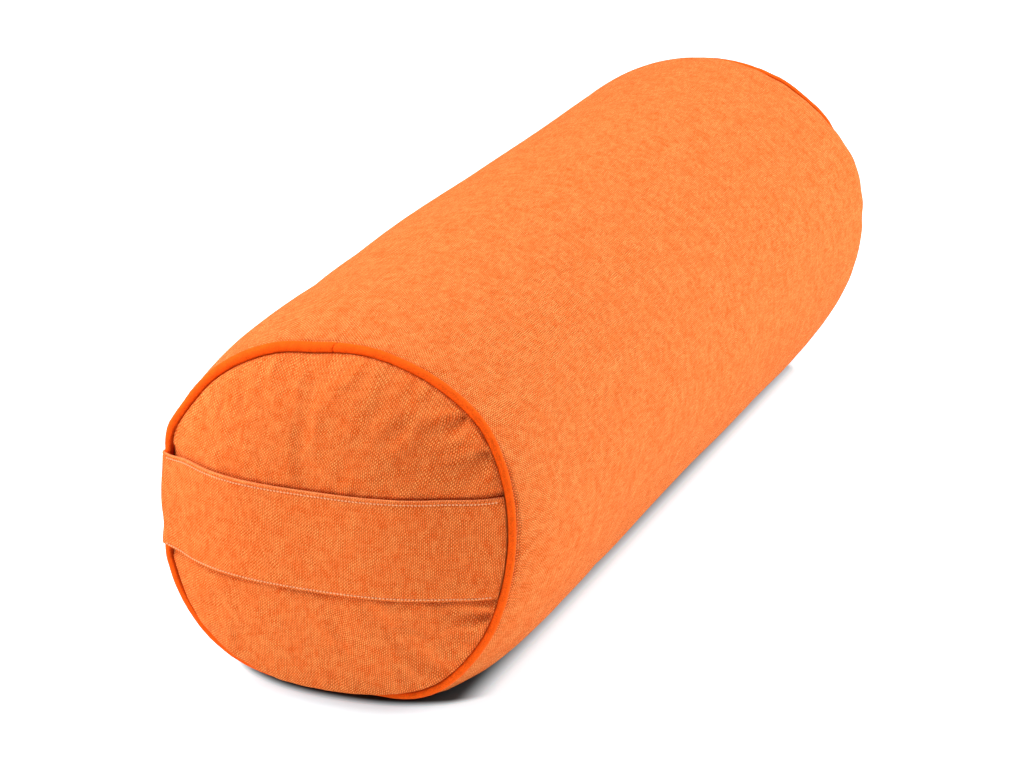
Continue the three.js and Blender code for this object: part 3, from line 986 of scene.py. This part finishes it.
def strap_middle(across, up):
    """Middle of the strap's cloth, with across from its left end to its right one and up from -1 to 1.

    It bows out between its ends. At the left it leaves the bow along a cubic curve that keeps both directions,
    goes round the piping on a circle about the cord's middle, and ends behind it.
    """
    s = sizes()
    across, up = np.broadcast_arrays(across, up)
    height = strap_level(across, up)
    leave, meet, end = STRAP_LEFT_BENDS
    bow = strap_bow(np.maximum(across, leave), up)
    # Round the cord
    cord = -(half_width_inside(height, np.full(up.shape, -1)) + s.piping_radius + 2 * s.gap)
    share = np.clip((meet - across) / (meet - end), 0, None)
    turn = np.radians(STRAP_WRAP_TURN[0] + share * (STRAP_WRAP_TURN[1] - STRAP_WRAP_TURN[0]))
    circle = np.stack([cord + STRAP_WRAP_RADIUS * np.cos(turn), STRAP_WRAP_RADIUS * np.sin(turn)], axis=-1)
    # The cubic between the bow and the circle
    start = strap_bow(np.full(up.shape, leave), up)
    before = (start - strap_bow(np.full(up.shape, leave + 0.01), up)) / 0.01 * (leave - meet)
    first = math.radians(STRAP_WRAP_TURN[0])
    beside, beyond = STRAP_WRAP_RADIUS * math.cos(first), STRAP_WRAP_RADIUS * math.sin(first)
    touch = np.stack([cord + beside, np.full(up.shape, beyond)], axis=-1)
    length = np.linalg.norm(touch - start, axis=-1, keepdims=True)
    after = np.array([-math.sin(first), math.cos(first)]) * length
    before = before / np.linalg.norm(before, axis=-1, keepdims=True) * length
    t = np.clip((leave - across) / (leave - meet), 0, 1)[..., None]
    cubic = (
        (2 * t**3 - 3 * t**2 + 1) * start + (t**3 - 2 * t**2 + t) * before
        + (3 * t**2 - 2 * t**3) * touch + (t**3 - t**2) * after
    )
    flat = np.where((across > leave)[..., None], bow, np.where((across > meet)[..., None], cubic, circle))
    return np.stack([flat[..., 0], FRONT["y"] - flat[..., 1], height], axis=-1)


def strap_outward(across, up):
    """Level direction away from the strap's outer face"""
    small = 0.003
    along = strap_middle(across + small, up) - strap_middle(across - small, up)
    outward = np.stack([along[..., 1], -along[..., 0], np.zeros_like(along[..., 0])], axis=-1)
    return outward / np.linalg.norm(outward, axis=-1, keepdims=True)


def strap_half_thickness(from_edge, inset):
    """Half the strap's thickness at a distance from its edge: a round fold, a groove where the topstitching
    pulls it in, the turned-in cloth, then the plain doubled band"""
    rounded = np.sqrt(np.clip(1 - (1 - np.minimum(from_edge / STRAP_FOLD, 1)) ** 2, 0, 1)) * STRAP_FOLD
    groove = STITCH_GROOVE[0] * np.exp(-(((from_edge - inset) / STITCH_GROOVE[1]) ** 2))
    turned_in = 1 / (1 + np.exp((from_edge - TURNED_IN[0]) / TURNED_IN[1]))
    return rounded - groove - (STRAP_FOLD - sizes().strap_thickness / 2) * (1 - turned_in)


def strap_profile():
    """Places round the strap's cross-section: up from -1 to 1 on its outer face and back on its inner one,
    with the half thickness there, above zero on the outer face"""
    s = sizes()
    half = s.strap_height / 2
    inner = [0.0043, 0.0060, 0.0080, 0.0092, 0.0104, 0.0130, 0.0165, 0.0200, 0.0240]
    from_edge = np.concatenate([[0.0, 0.00015], np.arange(0.0004, 0.0037, 0.0003), inner])
    up = np.concatenate([-1 + from_edge / half, [0.0], (1 - from_edge / half)[::-1]])
    inset = np.where(up > 0, s.stitch_inset, s.lower_stitch_inset)
    thickness = strap_half_thickness(np.minimum(1 - np.abs(up), 1) * half, inset)
    return np.concatenate([up, up[-2:0:-1]]), np.concatenate([thickness, -thickness[-2:0:-1]])


def strap_mesh():
    """The strap's cross-section carried along it, with both sewn-in ends closed to a pole"""
    s = sizes()
    step = np.linspace(-1, 1, STRAP_STEPS + 1)[:, None]
    left, right = STRAP_LEFT_BENDS[2], STRAP_RIGHT_END
    across = (left + right) / 2 + (right - left) / 2 * np.sin(math.pi / 2 * step)
    up, thickness = strap_profile()
    # Thinner where it goes round the cord and where it enters the right seam
    thin = 1 - STRAP_THINNING / (1 + np.exp((across + 1.0) / 0.02)) - STRAP_THINNING * np.maximum(step, 0) ** 30
    points = strap_middle(across, up) + strap_outward(across, up) * (thickness * thin)[..., None]
    points = np.concatenate([points, points[:, :1]], axis=1)
    along = line_length(strap_middle(across[:, 0], np.zeros(len(across))))
    half = s.strap_height / 2
    around = np.where(np.arange(len(up)) <= len(up) // 2, up * half, s.strap_height - up * half)
    weave = weave_grid(along[:, None], np.append(around, 1.5 * s.strap_height))
    return closed_tube("carrying_strap", points, weave, strap_middle(np.array([left, right]), np.zeros(2)))


def stitch_shape():
    """One stitch along X, round across: radius thread times sqrt(1 - (x / half length)^4), as 7 rings of 6 points"""
    along = np.sin(np.linspace(-math.pi / 2, math.pi / 2, 7))
    radius = THREAD_RADIUS * np.sqrt(np.clip(1 - along**4, 0.02, 1))
    side = np.linspace(0, 2 * math.pi, 7)[:-1]
    x = (along * sizes().stitch_pitch * STITCH_SHARE)[:, None]
    return np.stack(np.broadcast_arrays(x, radius[:, None] * np.cos(side), radius[:, None] * np.sin(side)), axis=-1)


def stitching_mesh():
    """Topstitches along both edges and on both faces of the strap, each stitch set into the stitched groove"""
    s = sizes()
    shape = stitch_shape()
    rings, sides = shape.shape[:2]
    fine = np.linspace(*STITCHED, 2001)
    points, faces, weave = [], [], []
    quads = joined_columns(grid_quads(rings, sides + 1), sides + 1)
    caps = np.stack([np.arange(sides)[::-1], (rings - 1) * sides + np.arange(sides)])
    lengthwise = shape[..., 0].ravel() + s.stitch_pitch
    around = np.arctan2(shape[..., 2], shape[..., 1]).ravel() * 0.0003
    one = np.stack([lengthwise, around], axis=-1)[quads]
    for edge, inset in (
        (2 * s.lower_stitch_inset / s.strap_height - 1, s.lower_stitch_inset),
        (1 - 2 * s.stitch_inset / s.strap_height, s.stitch_inset),
    ):
        along = line_length(strap_middle(fine, np.full_like(fine, edge)))
        across = np.interp(np.arange(s.stitch_pitch / 2, along[-1], s.stitch_pitch), along, fine)
        level = np.full_like(across, edge)
        place = strap_middle(across, level)
        tangent = strap_middle(across + 0.002, level) - place
        tangent /= np.linalg.norm(tangent, axis=-1, keepdims=True)
        outward = strap_outward(across, level)
        frames = np.stack([tangent, outward, np.cross(outward, tangent)], axis=1)
        for face in (1, -1):
            seat = place + face * outward * (strap_half_thickness(inset, inset) + STITCH_SEAT)
            stitches = seat[:, None, None] + np.einsum("ijk,nkl->nijl", shape, frames)
            start = sum(len(part) for part in points) + np.arange(len(stitches))[:, None, None] * rings * sides
            points.append(stitches.reshape(-1, 3))
            faces += [(start + quads).reshape(-1, 4), (start + caps).reshape(-1, sides)]
            weave += [np.tile(one, (len(stitches), 1, 1)), np.zeros((2 * len(stitches), sides, 2))]
    return new_mesh("strap_topstitching", np.concatenate(points), faces, weave)


# Operators

class BOLSTER_OT_wrap(bpy.types.Operator):
    """Build the filled wrap panel of the roll"""

    bl_idname = "bolster.wrap"
    bl_label = "Wrap panel"

    def execute(self, context):
        piece = new_piece("wrap_panel", wrap_mesh(), canvas("wrap_canvas", 1.35))
        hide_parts("body")
        return {"FINISHED"}


class BOLSTER_OT_end_panels(bpy.types.Operator):
    """Build the two crowned end panels"""

    bl_idname = "bolster.end_panels"
    bl_label = "End panels"

    def execute(self, context):
        front_presses = [*STRAP_PRESSES, *SEAM_PRESSES, FLOOR_BULGE]
        for name, node, end, presses, gathers, seed in (
            ("strap_end_panel", "end_panel_front", FRONT, front_presses, FRONT_GATHERS, 31),
            ("far_end_panel", "end_panel_back", BACK, [FLOOR_BULGE], BACK_GATHERS, 41),
        ):
            mesh = panel_mesh(name, end, presses, gathers, seed)
            piece = new_piece(name, mesh, canvas("end_canvas", 1.05, END_PAINTED_SHADE))
            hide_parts(node)
        return {"FINISHED"}


class BOLSTER_OT_piping(bpy.types.Operator):
    """Build the piping of both end seams"""

    bl_idname = "bolster.piping"
    bl_label = "Piping"

    def execute(self, context):
        material = shared("piping_cloth", cord_cover_material, tuple(colours().cord_cover), sizes().piping_radius)
        for name, node, end, seed, joint in (
            ("strap_end_piping", "piping_front", FRONT, 51, 88.5),
            ("far_end_piping", "piping_back", BACK, 61, 205.0),
        ):
            piece = new_piece(name, piping_mesh(name, end, seed, joint), material)
            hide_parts(node)
        return {"FINISHED"}


class BOLSTER_OT_strap(bpy.types.Operator):
    """Build the carrying strap and its topstitching"""

    bl_idname = "bolster.strap"
    bl_label = "Carrying strap"

    def execute(self, context):
        cloth = canvas("strap_canvas", 1.05, END_PAINTED_SHADE, sizes().strap_height / 2)
        strap = new_piece("carrying_strap", strap_mesh(), cloth)
        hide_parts("handle_strap")
        thread = shared("topstitch_thread", thread_material, tuple(colours().stitching))
        stitching = new_piece("strap_topstitching", stitching_mesh(), thread)
        return {"FINISHED"}


LIGHTS = (
    # name, place, side of the square lamp, watts
    ("overhead", (0.0, 0.0, 2.2), 2.2, 25.5),
    ("overhead_right", (1.2, 0.3, 1.9), 1.4, 9.5),
    ("overhead_left", (-0.8, -0.2, 2.3), 1.2, 20.0),
    ("left", (-1.8, -0.6, 1.7), 1.4, 41.5),
    ("left_front", (-1.7, -1.6, 1.1), 1.2, 31.0),
    ("right_back", (1.8, 0.9, 1.2), 1.4, 36.0),
    ("right_low", (1.9, 0.7, 0.6), 1.0, 14.0),
)
LIGHTS_AIM = (0.0, -0.05, 0.1)


class BOLSTER_OT_stage(bpy.types.Operator):
    """Set the pale floor, the soft studio lights and the camera"""

    bl_idname = "bolster.stage"
    bl_label = "Floor, lights and camera"

    def execute(self, context):
        scene = context.scene
        scene.view_settings.view_transform = "Standard"
        camera = linked("camera", bpy.data.cameras.new("camera"))
        camera.data.lens = CAMERA_LENS
        camera.data.sensor_width = 36.0
        camera.data.clip_end = 100.0
        axes = Matrix(CAMERA_AXES).transposed().to_4x4()
        camera.matrix_world = Matrix.Translation(CAMERA_PLACE) @ axes
        scene.camera = camera

        mesh = bpy.data.meshes.new("studio_floor")
        half = 12.0
        mesh.from_pydata([(-half, -half, 0), (half, -half, 0), (half, half, 0), (-half, half, 0)], [], [(0, 1, 2, 3)])
        mesh.materials.append(shared("floor_paint", floor_material, tuple(colours().floor)))
        linked("studio_floor", mesh)

        for name, place, side, watts in LIGHTS:
            lamp = bpy.data.lights.new(name, "AREA")
            lamp.shape = "SQUARE"
            lamp.size = side
            lamp.energy = watts
            light = linked(name, lamp)
            light.location = place
            light.rotation_euler = (Vector(LIGHTS_AIM) - Vector(place)).to_track_quat("-Z", "Y").to_euler()

        world = bpy.data.worlds.new("studio")
        world.use_nodes = True
        background = world.node_tree.nodes["Background"]
        background.inputs["Color"].default_value = (1.0, 1.0, 1.0, 1.0)
        background.inputs["Strength"].default_value = 0.02
        scene.world = world
        return {"FINISHED"}


class BOLSTER_PT_pieces(bpy.types.Panel):
    """Sizes, colours and the pieces in the order they are built"""

    bl_label = "Yoga bolster"
    bl_space_type = "VIEW_3D"
    bl_region_type = "UI"
    bl_category = "Bolster"

    def draw(self, context):
        for group in (context.scene.bolster_sizes, context.scene.bolster_colours):
            box = self.layout.box()
            for name in group.__annotations__:
                box.prop(group, name)
        for operator in OPERATORS:
            self.layout.operator(operator.bl_idname)


OPERATORS = (BOLSTER_OT_stage, BOLSTER_OT_wrap, BOLSTER_OT_end_panels, BOLSTER_OT_piping, BOLSTER_OT_strap)
CLASSES = (BolsterSizes, BolsterColours, *OPERATORS, BOLSTER_PT_pieces)


def register():
    for cls in CLASSES:
        bpy.utils.register_class(cls)
    bpy.types.Scene.bolster_sizes = PointerProperty(type=BolsterSizes)
    bpy.types.Scene.bolster_colours = PointerProperty(type=BolsterColours)


def unregister():
    del bpy.types.Scene.bolster_colours
    del bpy.types.Scene.bolster_sizes
    for cls in reversed(CLASSES):
        bpy.utils.unregister_class(cls)


def main():
    """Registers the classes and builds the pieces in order"""
    register()
    for operator in OPERATORS:
        getattr(bpy.ops.bolster, operator.bl_idname.split(".")[1])()


if __name__ == "__main__":
    main()
